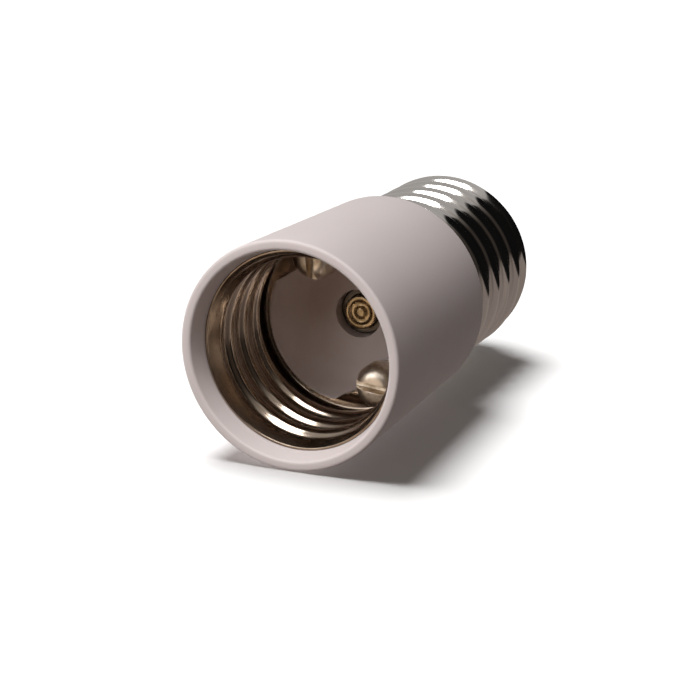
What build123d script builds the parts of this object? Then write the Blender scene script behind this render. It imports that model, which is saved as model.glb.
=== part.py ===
from build123d import *
import os
from math import asin, ceil, cos, floor, pi, radians, sin, sqrt, tan

# Lamp socket adapter: a moulded housing with a threaded lamp socket in its mouth and a
# threaded lamp cap at its back. It stands on its mouth rim, Z runs from the rim to the
# cap, and the two shell screws lie on the X axis. Sizes are in millimetres.

# Round thread, shared by the socket shell and the cap shell
pitch = 6.35
socket_major_d = 39.8
socket_minor_d = 36.2
cap_major_d = 39.3
cap_minor_d = 35.6
sheet = 0.45
trim_margin = 0.3
socket_groove_z = 1.9
cap_crest_z = 3.4

# Housing, outside
body_length = 50.3
body_draft = 1.86
rim_wall = 2.1
mouth_flare = 0.9
rim_round = 0.8
rim_inner_round = 0.6
back_round = 0.9

# Housing, inside the mouth
lip_depth = 4.7
seat_z = 31.5
shoulder_height = 3.0
floor_drop = 3.2
shell_clearance = 0.15
shoulder_r = 17.5
flange_gap = 0.15
recess_arc = 77.0
dish_floor_r = 11.5
dish_edge = 0.4
pad_inner_r = 9.8

# Housing, behind the floor
web = 3.8
boss_r = 8.0
boss_length = 5.5
cap_seat_depth = 5.8
cap_clearance = 0.2
neck_length = 15.7
neck_wall = 2.2
slot_width = 9.4
slot_margin = 0.5

# Socket shell
lead_in = 3.6
lead_out = 3.4
plain_length = 3.0
end_swell = 0.1
tab_width = 12.4
tab_inner_r = 9.9
tab_corner = 3.4

# Shell screws, and what they screw into
screw_r = 14.8
screw_d = 4.9
screw_length = 12.0
screw_hole_d = 5.4
head_d = 9.5
head_height = 3.0
head_round = 1.6
drive_width = 1.3
drive_depth = 1.4
lower_slot_turn = -55.0
upper_slot_turn = 25.0
tapped_d = 5.0
nut_side = 8.0
nut_height = 2.7
nut_corner = 0.6
strip_width = 8.0
strip_thickness = 0.8
strip_leg_gap = 0.4
strip_rise = 11.5
tongue_length = 8.0

# Spring contact
well_d = 10.0
well_depth = 3.5
sleeve_length = 10.3
sleeve_flange = 1.0
sleeve_d = 8.8
sleeve_wall = 0.45
sleeve_floor = 1.2
sleeve_lip = 0.6
crown_d = 7.1
crown_recess = 0.8
crown_length = 3.5
crown_round = 0.4
running_clearance = 0.08
collar_height = 1.0
tail_d = 4.4
tail_length = 2.0
dish_d = 5.0
dish_depth = 0.55
tip_d = 2.4
spring_wire = 0.55
spring_coils = 6.0
spring_clearance = 0.3
nut_across = 13.0
sleeve_nut_height = 3.0

# Centre rod
rod_d = 4.0
spigot_d = 3.0
rivet_d = 4.6
rivet_height = 0.6

# Cap end
cap_thread_reach = 31.9
end_round_r = 3.4
end_cone = 1.4
end_opening_d = 27.6
glass_gap = 0.1
glass_skirt = 2.4
glass_cone = 2.9
glass_top_d = 18.4
contact_d = 16.4
contact_height = 2.4
contact_edge = 0.9
contact_wall = 0.9

# Sizes worked out from those above
socket_major_r = socket_major_d / 2
socket_minor_r = socket_minor_d / 2
cap_major_r = cap_major_d / 2
cap_minor_r = cap_minor_d / 2
bore_r = socket_major_r + sheet + shell_clearance
mouth_r = bore_r + mouth_flare
rim_r = mouth_r + rim_wall
back_r = rim_r - body_length * tan(radians(body_draft))
shoulder_z = seat_z - shoulder_height
floor_z = seat_z + floor_drop
web_back_z = floor_z + web
hollow_width = shoulder_r - dish_edge - dish_floor_r
hollow_depth = floor_z - shoulder_z
hollow_arc = (hollow_width**2 + hollow_depth**2) / (2 * hollow_width)
hollow_half = asin(hollow_depth / hollow_arc) / 2
hollow_mid_r = shoulder_r - dish_edge - hollow_arc * (1 - cos(hollow_half))
hollow_mid_z = shoulder_z + hollow_arc * sin(hollow_half)
boss_back_z = web_back_z + boss_length
channel_z = body_length - cap_seat_depth
channel_r = cap_major_r + cap_clearance
neck_r = cap_minor_r - sheet - cap_clearance
neck_end_z = body_length + neck_length
pocket_r = neck_r - neck_wall
plain_z = seat_z - plain_length
slot_reach = screw_r + nut_side / 2 + slot_margin
well_z = floor_z + well_depth
sleeve_front_z = well_z - sleeve_flange
sleeve_back_z = well_z + sleeve_length - sleeve_flange
sleeve_bore_r = sleeve_d / 2 - sleeve_wall
sleeve_floor_z = sleeve_back_z - sleeve_floor
crown_z = floor_z + crown_recess
crown_back_z = crown_z + crown_length
head_seat_z = seat_z - sheet
head_top_z = head_seat_z - head_height
cap_round_z = body_length + cap_thread_reach
cap_cone_z = cap_round_z + end_round_r
cap_end_z = cap_cone_z + end_cone
end_opening_r = end_opening_d / 2
glass_top_z = cap_end_z + glass_cone
contact_top_z = glass_top_z + contact_height


def side_plane(angle):
    """Upright plane through the Z axis, turned by an angle from the X axis."""
    across = (cos(radians(angle)), sin(radians(angle)), 0)
    return Plane(origin=(0, 0, 0), x_dir=across, z_dir=(across[1], -across[0], 0))


def thread_form(z_from, z_to, crest_z, major_r, minor_r, grow):
    """Solid with a round right-hand thread as its side, reaching past both given heights.

    The thread's whole profile along the axis is carried through half a turn, and a copy
    of that, turned by half and lifted by half the pitch, closes it. The side of the sheet
    that shows, with grow 0, has round crests and roots that meet without a corner. With
    any other grow the surface lies that far outside it, with straight flanks and flats.
    """
    depth = major_r - minor_r
    arc = (pitch**2 / 4 + depth**2) / (4 * depth)
    ridge_arc = arc + grow
    crest_r = major_r + grow
    root_r = minor_r + grow
    ridge_half = pitch / 2 * ridge_arc / (2 * arc)
    flank_r = crest_r - ridge_arc + sqrt(ridge_arc**2 - ridge_half**2)
    flank_slope = ridge_half / sqrt(ridge_arc**2 - ridge_half**2)
    flat_z = ridge_half - (crest_r - flank_r) / flank_slope
    root_z = ridge_half + (flank_r - root_r) / flank_slope
    first_z = crest_z + pitch * (floor((z_from - crest_z) / pitch) - 2)
    turns = ceil((z_to - first_z) / pitch) + 1
    low_z = first_z - ridge_half
    top_z = low_z + turns * pitch
    core_r = minor_r / 2
    with BuildPart() as half_turn:
        with BuildSketch(Plane.XZ):
            with BuildLine():
                for turn in range(turns):
                    z = first_z + turn * pitch
                    foot = (flank_r, z - ridge_half)
                    back = (flank_r, z + ridge_half)
                    end = (flank_r, z + pitch - ridge_half)
                    if grow == 0:
                        ThreePointArc(foot, (crest_r, z), back)
                        ThreePointArc(back, (root_r, z + pitch / 2), end)
                    else:
                        Polyline(
                            foot,
                            (crest_r, z - flat_z),
                            (crest_r, z + flat_z),
                            (root_r, z + root_z),
                            (root_r, z + pitch - root_z),
                            end,
                        )
                Polyline(
                    (flank_r, top_z),
                    (core_r - trim_margin, top_z),
                    (core_r - trim_margin, low_z),
                    (flank_r, low_z),
                )
            make_face()
        with BuildLine() as guide:
            Helix(pitch, pitch / 2, minor_r)
        sweep(path=guide.wires()[0], is_frenet=True)
    with BuildPart() as form:
        add(half_turn.part)
        with Locations(Location((0, 0, pitch / 2), (0, 0, 180))):
            add(half_turn.part)
        with BuildSketch(Plane.XY.offset(z_from - trim_margin)):
            Circle(core_r)
        extrude(amount=z_to - z_from + 2 * trim_margin)
    return form.part


def revolved(*points):
    """Solid turned about Z from a closed outline of (radius, height) points."""
    with BuildPart() as turned:
        with BuildSketch(Plane.XZ):
            with BuildLine():
                Polyline(*points, close=True)
            make_face()
        revolve(axis=Axis.Z)
    return turned.part


def pan_screw(at_x, slot_turn):
    """Slotted pan-head screw pointing up Z, with its head towards the mouth."""
    with BuildPart() as screw:
        with BuildSketch(Plane.XY.offset(head_top_z)):
            with Locations((at_x, 0)):
                Circle(head_d / 2)
        extrude(amount=head_height)
        fillet(screw.edges().group_by(Axis.Z)[0], head_round)
        with BuildSketch(Plane.XY.offset(head_seat_z)):
            with Locations((at_x, 0)):
                Circle(screw_d / 2)
        extrude(amount=screw_length)
        with BuildSketch(Plane.XY.offset(head_top_z)):
            with Locations((at_x, 0)):
                Rectangle(head_d, drive_width, rotation=slot_turn)
        extrude(amount=drive_depth, mode=Mode.SUBTRACT)
    return screw.part


def square_nut(at_x, from_z):
    """Square nut on a screw's axis, with its upright corners broken."""
    with BuildPart() as nut:
        with BuildSketch(Plane.XY.offset(from_z)):
            with Locations((at_x, 0)):
                Rectangle(nut_side, nut_side)
        extrude(amount=nut_height)
        chamfer(nut.edges().filter_by(Axis.Z), nut_corner)
        with BuildSketch(Plane.XY.offset(from_z)):
            with Locations((at_x, 0)):
                Circle(tapped_d / 2)
        extrude(amount=nut_height, mode=Mode.SUBTRACT)
    return nut.part


def socket_form(grow, open_z):
    """Socket shell filled solid; grow 0 is its inner side, and one sheet its outer side.

    The thread runs in from a cone at the mouth, and out into a plain end.
    """
    thread = thread_form(
        open_z - trim_margin,
        seat_z + trim_margin,
        socket_groove_z,
        socket_major_r,
        socket_minor_r,
        grow,
    )
    major_r = socket_major_r + grow
    minor_r = socket_minor_r + grow
    depth = major_r - minor_r
    lead_z = lip_depth + lead_in + trim_margin
    lead_slope = (depth + end_swell) / lead_in
    lead_tip_r = minor_r - lead_slope * trim_margin
    lead = revolved(
        (0, open_z - trim_margin),
        (lead_tip_r + lead_slope * (lead_z - open_z + trim_margin), open_z - trim_margin),
        (lead_tip_r, lead_z),
        (0, lead_z),
    )
    out_z = plain_z - lead_out - trim_margin
    plain_end = revolved(
        (0, out_z),
        (minor_r - depth / lead_out * trim_margin, out_z),
        (major_r + end_swell, plain_z),
        (major_r + end_swell, seat_z + trim_margin),
        (0, seat_z + trim_margin),
    )
    bottom_z = head_seat_z + grow
    envelope = revolved(
        (0, open_z),
        (bore_r + sheet, open_z),
        (bore_r + sheet, bottom_z),
        (0, bottom_z),
    )
    with BuildPart() as form:
        add(thread)
        add(lead)
        add(plain_end)
        add(envelope, mode=Mode.INTERSECT)
    return form.part


def cap_form(grow):
    """Cap shell filled solid; grow 0 is its outer side, and minus one sheet its inner side."""
    thread = thread_form(
        channel_z, cap_end_z, cap_crest_z, cap_major_r, cap_minor_r, grow
    )
    side_r = cap_major_r + grow + trim_margin
    turned_in_r = side_r - end_round_r
    with BuildPart() as envelope:
        with BuildSketch(Plane.XZ):
            with BuildLine():
                Line((0, channel_z), (side_r, channel_z))
                Line((side_r, channel_z), (side_r, cap_round_z))
                ThreePointArc(
                    (side_r, cap_round_z),
                    (
                        turned_in_r + end_round_r * cos(pi / 4),
                        cap_round_z + (end_round_r + grow) * sin(pi / 4),
                    ),
                    (turned_in_r, cap_cone_z + grow),
                )
                Line((turned_in_r, cap_cone_z + grow), (end_opening_r, cap_end_z + grow))
                Line((end_opening_r, cap_end_z + grow), (0, cap_end_z + grow))
                Line((0, cap_end_z + grow), (0, channel_z))
            make_face()
        revolve(axis=Axis.Z)
    with BuildPart() as form:
        add(thread)
        add(envelope, mode=Mode.INTERSECT)
    return form.part


# Housing: the drafted body, and the neck that carries the cap
with BuildPart() as housing:
    add(revolved((0, 0), (rim_r, 0), (back_r, body_length), (0, body_length)))
    fillet(housing.edges().group_by(Axis.Z)[0], rim_round)
    fillet(housing.edges().group_by(Axis.Z)[-1], back_round)
    with BuildSketch(Plane.XY.offset(body_length)):
        Circle(neck_r)
    extrude(amount=neck_length)

    # channel behind the body, where the cap shell is pushed over the neck
    with BuildSketch(Plane.XY.offset(channel_z)):
        Circle(channel_r)
        Circle(neck_r, mode=Mode.SUBTRACT)
    extrude(amount=cap_seat_depth, mode=Mode.SUBTRACT)

    # mouth, shell bore, and the groove round the shoulders for the shell's end
    with BuildSketch(Plane.XZ):
        with BuildLine():
            Polyline(
                (0, 0),
                (mouth_r, 0),
                (bore_r, lip_depth),
                (bore_r, seat_z),
                (shoulder_r, seat_z),
                (shoulder_r, shoulder_z),
                (0, shoulder_z),
                close=True,
            )
        make_face()
    revolve(axis=Axis.Z, mode=Mode.SUBTRACT)
    rim_edges = housing.edges().filter_by(GeomType.CIRCLE).group_by(Axis.Z)[0]
    fillet(rim_edges.sort_by(SortBy.RADIUS)[0], rim_inner_round)

    # two recesses for the shell's tabs, on the X axis
    with BuildSketch(side_plane(-recess_arc / 2)):
        with Locations((bore_r / 2, (shoulder_z + seat_z) / 2)):
            Rectangle(bore_r, shoulder_height)
    revolve(axis=Axis.Z, revolution_arc=recess_arc, mode=Mode.SUBTRACT)
    with BuildSketch(side_plane(180 - recess_arc / 2)):
        with Locations((bore_r / 2, (shoulder_z + seat_z) / 2)):
            Rectangle(bore_r, shoulder_height)
    revolve(axis=Axis.Z, revolution_arc=recess_arc, mode=Mode.SUBTRACT)

    # floor, and the hollow that sweeps up from it to each shoulder
    with BuildSketch(Plane.XY.offset(shoulder_z)):
        Circle(pad_inner_r)
    extrude(amount=floor_z - shoulder_z, mode=Mode.SUBTRACT)
    for start in (recess_arc / 2, 180 + recess_arc / 2):
        with BuildSketch(side_plane(start)):
            with BuildLine():
                Line((0, shoulder_z), (shoulder_r - dish_edge, shoulder_z))
                ThreePointArc(
                    (shoulder_r - dish_edge, shoulder_z),
                    (hollow_mid_r, hollow_mid_z),
                    (dish_floor_r, floor_z),
                )
                Line((dish_floor_r, floor_z), (0, floor_z))
                Line((0, floor_z), (0, shoulder_z))
            make_face()
        revolve(axis=Axis.Z, revolution_arc=180 - recess_arc, mode=Mode.SUBTRACT)

    # hollow neck, with a boss round the spring contact
    with BuildSketch(Plane.XY.offset(web_back_z)):
        Circle(pocket_r)
    extrude(amount=neck_end_z - web_back_z, mode=Mode.SUBTRACT)
    with BuildSketch(Plane.XY.offset(web_back_z)):
        Circle(boss_r)
    extrude(amount=boss_length)

    # a slot in the neck behind each screw, for the nut and the strip
    with BuildSketch(Plane.XY.offset(web_back_z)):
        Rectangle(2 * slot_reach, slot_width)
        Circle(boss_r, mode=Mode.SUBTRACT)
    extrude(amount=neck_end_z - web_back_z, mode=Mode.SUBTRACT)

    # holes for the contact sleeve and the screws
    with BuildSketch(Plane.XY.offset(floor_z)):
        Circle(well_d / 2)
    extrude(amount=well_depth, mode=Mode.SUBTRACT)
    with BuildSketch(Plane.XY.offset(well_z)):
        Circle(sleeve_d / 2 + running_clearance)
    extrude(amount=boss_back_z - well_z, mode=Mode.SUBTRACT)
    with BuildSketch(Plane.XY.offset(seat_z)):
        with Locations((screw_r, 0), (-screw_r, 0)):
            Circle(screw_hole_d / 2)
    extrude(amount=web_back_z - seat_z, mode=Mode.SUBTRACT)

# Socket shell: one rolled sheet, open at the mouth, with two tabs turned in under the screws
socket_outside = socket_form(sheet, lip_depth)
socket_inside = socket_form(0, lip_depth - trim_margin)
with BuildPart() as socket_shell:
    add(socket_outside)
    add(socket_inside, mode=Mode.SUBTRACT)
    with BuildSketch(Plane.XY.offset(head_seat_z)):
        Circle(shoulder_r + flange_gap)
        with Locations((-screw_r, 0), (screw_r, 0)):
            RectangleRounded(
                2 * (screw_r - tab_inner_r), tab_width, tab_corner, mode=Mode.SUBTRACT
            )
        with Locations((-shoulder_r, 0), (shoulder_r, 0)):
            Rectangle(2 * (shoulder_r - screw_r), tab_width, mode=Mode.SUBTRACT)
    extrude(amount=sheet, mode=Mode.SUBTRACT)
    with BuildSketch(Plane.XY.offset(head_seat_z)):
        with Locations((screw_r, 0), (-screw_r, 0)):
            Circle(screw_hole_d / 2)
    extrude(amount=sheet, mode=Mode.SUBTRACT)

# Cap shell: one rolled sheet, open over the neck, drawn in round the end insulator
cap_outside = cap_form(0)
cap_inside = cap_form(-sheet)
with BuildPart() as cap_shell:
    add(cap_outside)
    add(cap_inside, mode=Mode.SUBTRACT)
    with BuildSketch(Plane.XY.offset(cap_cone_z)):
        Circle(end_opening_r)
    extrude(amount=cap_end_z - cap_cone_z, mode=Mode.SUBTRACT)

# Shell screws
shell_screw_lower = pan_screw(screw_r, lower_slot_turn)
shell_screw_upper = pan_screw(-screw_r, upper_slot_turn)

# Nuts behind the web; the strip lies under the lower one
shell_nut_lower = square_nut(screw_r, web_back_z + strip_thickness)
shell_nut_upper = square_nut(-screw_r, web_back_z)

# Strip that links the lower screw to the cap shell: a foot under the nut, a leg beside
# it, and a tongue that lies along the inside of the cap shell in the neck's slot
tongue_x = sqrt(neck_r**2 - (strip_width / 2) ** 2)
leg_x = screw_r - nut_side / 2 - strip_leg_gap
step_z = web_back_z + strip_rise
with BuildPart() as link_strip:
    with BuildSketch(Plane.XZ):
        with BuildLine():
            Polyline(
                (leg_x - strip_thickness, web_back_z),
                (screw_r + nut_side / 2, web_back_z),
                (screw_r + nut_side / 2, web_back_z + strip_thickness),
                (leg_x, web_back_z + strip_thickness),
                (leg_x, step_z),
                (tongue_x, step_z),
                (tongue_x, step_z + tongue_length),
                (tongue_x - strip_thickness, step_z + tongue_length),
                (tongue_x - strip_thickness, step_z + strip_thickness),
                (leg_x - strip_thickness, step_z + strip_thickness),
                close=True,
            )
        make_face()
    extrude(amount=strip_width / 2, both=True)
    with BuildSketch(Plane.XY.offset(web_back_z)):
        with Locations((screw_r, 0)):
            Circle(screw_hole_d / 2)
    extrude(amount=strip_thickness, mode=Mode.SUBTRACT)

# Contact sleeve: a flanged cup in the floor's well, with its lip turned in over the plunger
with BuildPart() as contact_sleeve:
    add(
        revolved(
            (crown_d / 2 + running_clearance, sleeve_front_z),
            (well_d / 2 - running_clearance, sleeve_front_z),
            (well_d / 2 - running_clearance, well_z),
            (sleeve_d / 2, well_z),
            (sleeve_d / 2, sleeve_back_z),
            (spigot_d / 2, sleeve_back_z),
            (spigot_d / 2, sleeve_floor_z),
            (sleeve_bore_r, sleeve_floor_z),
            (sleeve_bore_r, sleeve_front_z + sleeve_lip),
            (crown_d / 2 + running_clearance, sleeve_front_z + sleeve_lip),
        )
    )

# Nut that clamps the sleeve to the boss
with BuildPart() as sleeve_nut:
    with BuildSketch(Plane.XY.offset(boss_back_z)):
        RegularPolygon(nut_across / 2, 6, major_radius=False)
        Circle(sleeve_d / 2, mode=Mode.SUBTRACT)
    extrude(amount=sleeve_nut_height)

# Spring-loaded plunger: dished crown, collar behind the sleeve's lip, tail inside the spring
collar_z = sleeve_front_z + sleeve_lip + running_clearance
collar_r = sleeve_bore_r - running_clearance
with BuildPart() as contact_plunger:
    add(
        revolved(
            (0, crown_z),
            (crown_d / 2, crown_z),
            (crown_d / 2, collar_z),
            (collar_r, collar_z),
            (collar_r, collar_z + collar_height),
            (crown_d / 2, collar_z + collar_height),
            (crown_d / 2, crown_back_z),
            (tail_d / 2, crown_back_z),
            (tail_d / 2, crown_back_z + tail_length),
            (0, crown_back_z + tail_length),
        )
    )
    fillet(contact_plunger.edges().group_by(Axis.Z)[0], crown_round)
    with BuildSketch(Plane.XY.offset(crown_z)):
        Circle(dish_d / 2)
        Circle(tip_d / 2, mode=Mode.SUBTRACT)
    extrude(amount=dish_depth, mode=Mode.SUBTRACT)

# Compression spring between the plunger and the sleeve's floor
spring_r = sleeve_bore_r - spring_clearance - spring_wire / 2
spring_from_z = crown_back_z + spring_wire / 2
spring_height = sleeve_floor_z - crown_back_z - spring_wire
with BuildPart() as contact_spring:
    with BuildLine() as coil:
        Helix(spring_height / spring_coils, spring_height, spring_r, center=(0, 0, spring_from_z))
    with BuildSketch(Plane(origin=coil.line @ 0, z_dir=coil.line % 0)):
        Circle(spring_wire / 2)
    sweep(path=coil.wires()[0], is_frenet=True)

# Rod from the sleeve's floor, where it is riveted over, to the end contact
rod_end_z = contact_top_z - contact_wall
with BuildPart() as centre_rod:
    add(
        revolved(
            (0, sleeve_floor_z - rivet_height),
            (rivet_d / 2, sleeve_floor_z - rivet_height),
            (rivet_d / 2, sleeve_floor_z),
            (spigot_d / 2, sleeve_floor_z),
            (spigot_d / 2, sleeve_back_z),
            (rod_d / 2, sleeve_back_z),
            (rod_d / 2, rod_end_z),
            (0, rod_end_z),
        )
    )

# End insulator: a glass plug keyed behind the shell's turned-in end
with BuildPart() as end_insulator:
    add(
        revolved(
            (rod_d / 2, cap_cone_z - sheet - glass_skirt),
            (cap_major_r - end_round_r - sheet, cap_cone_z - sheet - glass_skirt),
            (cap_major_r - end_round_r - sheet, cap_cone_z - sheet - glass_gap),
            (end_opening_r - glass_gap, cap_end_z - sheet - glass_gap),
            (end_opening_r - glass_gap, cap_end_z),
            (glass_top_d / 2, glass_top_z),
            (rod_d / 2, glass_top_z),
        )
    )

# End contact: a domed button over the rod's end
with BuildPart() as end_contact:
    with BuildSketch(Plane.XY.offset(glass_top_z)):
        Circle(contact_d / 2)
    extrude(amount=contact_height)
    fillet(end_contact.edges().group_by(Axis.Z)[-1], contact_edge)
    with BuildSketch(Plane.XY.offset(glass_top_z)):
        Circle(rod_d / 2)
    extrude(amount=rod_end_z - glass_top_z, mode=Mode.SUBTRACT)

pieces = {
    "housing": housing.part,
    "socket_shell": socket_shell.part,
    "cap_shell": cap_shell.part,
    "shell_screw_lower": shell_screw_lower,
    "shell_screw_upper": shell_screw_upper,
    "shell_nut_lower": shell_nut_lower,
    "shell_nut_upper": shell_nut_upper,
    "link_strip": link_strip.part,
    "contact_sleeve": contact_sleeve.part,
    "sleeve_nut": sleeve_nut.part,
    "contact_plunger": contact_plunger.part,
    "contact_spring": contact_spring.part,
    "centre_rod": centre_rod.part,
    "end_insulator": end_insulator.part,
    "end_contact": end_contact.part,
}
os.makedirs("parts", exist_ok=True)
for name, piece in pieces.items():
    piece.label = name
    export_step(piece, f"parts/{name}.step")
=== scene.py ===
import math
import bmesh
import bpy
import numpy as np
from bpy.props import FloatProperty, FloatVectorProperty, IntProperty, PointerProperty
from mathutils import Matrix, Vector


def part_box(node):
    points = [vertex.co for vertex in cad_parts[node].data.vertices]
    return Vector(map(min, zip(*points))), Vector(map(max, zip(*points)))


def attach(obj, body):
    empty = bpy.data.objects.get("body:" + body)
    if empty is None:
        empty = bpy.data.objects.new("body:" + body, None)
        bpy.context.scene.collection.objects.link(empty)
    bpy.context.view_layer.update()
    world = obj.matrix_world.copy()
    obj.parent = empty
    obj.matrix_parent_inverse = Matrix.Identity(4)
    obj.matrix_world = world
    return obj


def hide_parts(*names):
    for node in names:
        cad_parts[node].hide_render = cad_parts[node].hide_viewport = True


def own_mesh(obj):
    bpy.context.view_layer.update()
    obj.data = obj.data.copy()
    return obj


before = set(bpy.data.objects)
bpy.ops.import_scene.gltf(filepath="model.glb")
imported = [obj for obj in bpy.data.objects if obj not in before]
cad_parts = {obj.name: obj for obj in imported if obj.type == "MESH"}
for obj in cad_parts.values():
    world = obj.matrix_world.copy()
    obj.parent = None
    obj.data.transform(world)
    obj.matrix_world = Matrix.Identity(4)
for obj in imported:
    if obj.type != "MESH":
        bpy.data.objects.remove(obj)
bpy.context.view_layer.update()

bl_info = {
    "name": "Lamp socket adapter",
    "version": (1, 0, 0),
    "blender": (4, 5, 0),
    "location": "3D View > Sidebar > Adapter",
    "description": "Dresses the packed lamp socket adapter and sets it on its stage",
    "category": "Object",
}

# The adapter stands on its mouth rim; Z runs from the rim to the end contact, in metres.
MM = 0.001
SHELL_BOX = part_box("socket_shell")
CAP_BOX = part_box("cap_shell")

# Sizes in mm that several pieces, or a piece and the stage, have in common
RIM_RADIUS = 23.5
BACK_RADIUS = 21.87
BODY_LENGTH = 50.3
SEAT_HEIGHT = 31.5
FLOOR_HEIGHT = 34.7
SCREW_PLACE = 14.8

# Meshes: points nearer than the first are merged and edges shorter than the second taken
# out (m), and edges with more than this angle between their faces stay sharp
MERGE_DISTANCE = 1e-7
SHORTEST_EDGE = 1e-8
SHARP_ANGLE = math.radians(38)

# Sockets of a Mix node for colours: the two colours and the result
MIX_FIRST, MIX_SECOND, MIX_RESULT = 6, 7, 2

# Photo's own axes in the frame of the adapter: up from the floor, and how the camera stands
PHOTO_UP_ANGLE = math.radians(208.76)
PHOTO_UP = Vector((math.cos(PHOTO_UP_ANGLE), math.sin(PHOTO_UP_ANGLE), 0))
CAMERA_PLACE = Vector((-0.02417, -0.22758, -0.39668))
CAMERA_RIGHT = Vector((0.44044, -0.80239, 0.40275))
CAMERA_UP = Vector((-0.89568, -0.36186, 0.25856))
CAMERA_BACK = Vector((-0.06172, -0.47461, -0.87803))
CAMERA_LENS = 120.857
CAMERA_SENSOR = 36
CAMERA_CLIP = (0.01, 20)

# Lamps, all aimed at the middle of the adapter: name, the direction that each stands in,
# the stage setting with its value, and the side of its square (m)
LAMP_AIM = Vector((0, 0, 0.046))
LAMP_DISTANCE = 0.6
LAMPS = (
    ("Key lamp", (-0.82, -0.30, -0.49), "key", 0.3),
    ("Cap end lamp", (-0.1, 0.85, 0.52), "top", 0.4),
    ("Front lamp", (-0.4, -0.4, -0.82), "front", 0.06),
    ("Mouth lamp", (-0.5, 0.3, -0.81), "mouth", 0.3),
    ("Fill lamp", (0.0, 1, 0.1), "fill", 0.5),
)
FLOOR_SUN_DIRECTION = PHOTO_UP - CAMERA_RIGHT * 0.3 + Vector((0, 0, 0.15))
STANDING_SUN_DIRECTION = (-0.5, 0.1, 0.86)
SUN_ANGLE = 0.5

# Half the width of each floor (m), and how far the level one lies below the rim (mm)
FLOOR_HALF = 3
FLOOR_GAP = 0.02


def length(name, description, default):
    """Length setting in metres."""
    return FloatProperty(
        name=name, description=description, default=default, unit="LENGTH", precision=5
    )


def colour(name, description, default):
    """Colour setting, linear red, green and blue."""
    return FloatVectorProperty(
        name=name, description=description, default=default, subtype="COLOR", size=3, min=0, max=1
    )


def level(name, description, default):
    """Plain number from 0 up."""
    return FloatProperty(name=name, description=description, default=default, min=0)


class ShellSettings(bpy.types.PropertyGroup):
    """Sizes of the two threaded sheet shells, and of the lugs that the housing follows."""

    pitch: length("Pitch", "Rise of both threads in one turn", 6.35 * MM)
    sheet: length("Sheet", "Thickness of the rolled sheet", 0.45 * MM)
    socket_major: length(
        "Socket groove radius", "Inner radius at the bottom of the socket's grooves", 19.9 * MM
    )
    socket_minor: length(
        "Socket ridge radius", "Inner radius on the socket's ridges", 18.1 * MM
    )
    socket_groove: length(
        "Socket groove height", "Height of a groove's middle on the X axis", 1.9 * MM
    )
    cap_major: length("Cap crest radius", "Outer radius on the cap's crests", 19.65 * MM)
    cap_minor: length("Cap root radius", "Outer radius in the cap's roots", 17.8 * MM)
    cap_crest: length(
        "Cap crest height",
        "Height of a crest on the X axis, turns below the cap counted",
        3.4 * MM,
    )
    lug_edge: length(
        "Lug edge", "Distance of each lug's straight edge from the axis", 13.9 * MM
    )
    tongue_reach: length(
        "Tongue reach", "Distance from the axis of each tongue under a screw", 10.9 * MM
    )
    tongue_half: length("Tongue half width", "Half the width of each tongue", 4.3 * MM)
    columns: IntProperty(
        name="Columns",
        description="Steps of the housing and both shells round the axis",
        default=288,
        min=48,
    )


class FinishSettings(bpy.types.PropertyGroup):
    """Colours of the adapter's surfaces; those of the socket nickel and the sleeve hold painted
    shade.
    """

    moulding: colour("Moulding", "Off-white moulded housing", (0.80, 0.722, 0.712))
    cap_nickel: colour("Cap nickel", "Plated cap shell", (0.80, 0.765, 0.73))
    # Darker and browner than the cap's same plate: painted shade and painted warm reflection for
    # the inside of the mouth.
    shaded_socket_nickel: colour(
        "Socket nickel, painted shade", "Plated socket shell, darkened and warmed as painted shade and reflection in the mouth", (0.50, 0.41, 0.33)
    )
    tarnish: colour("Tarnish", "Darker film in the grooves", (0.16, 0.12, 0.09))
    screw_nickel: colour("Screw nickel", "Plated screws of the socket shell", (0.86, 0.77, 0.66))
    # Near black: painted shade for the deep well round the contact, not the plate's own colour.
    sleeve: colour("Sleeve", "Contact sleeve's plate, dark as painted shade in its well", (0.16, 0.14, 0.12))
    brass: colour("Brass", "Turned brass", (0.50, 0.38, 0.23))
    spring: colour("Spring steel", "Drawn spring wire", (0.42, 0.42, 0.43))
    glass: colour("Black glass", "Fused insulator of the cap's end", (0.012, 0.012, 0.014))
    tin: colour("Tin", "Tinned end contact", (0.62, 0.60, 0.56))


class StageSettings(bpy.types.PropertyGroup):
    """Floor, lamps and surroundings."""

    floor: colour("Floor", "Pale floor", (0.92, 0.92, 0.92))
    key: level("Key lamp", "Value that the key lamp gives a white surface facing it", 0.76)
    top: level("Cap end lamp", "Same for the lamp over the cap's end", 0.5)
    front: level("Front lamp", "Same for the lamp above the camera", 0.02)
    mouth: level("Mouth lamp", "Same for the lamp that shines into the mouth", 0.20)
    fill: level("Fill lamp", "Same for the lamp on the far side", 0.35)
    floor_light: level("Floor light", "Value that its own sun gives each white floor", 1.2)
    ambient: colour("Ambient", "Plain light from all round", (0.135, 0.125, 0.12))
    mouth_light: colour("Mouth light", "Soft light from before the mouth", (0.14, 0.085, 0.055))


# ---- numpy surfaces

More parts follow.
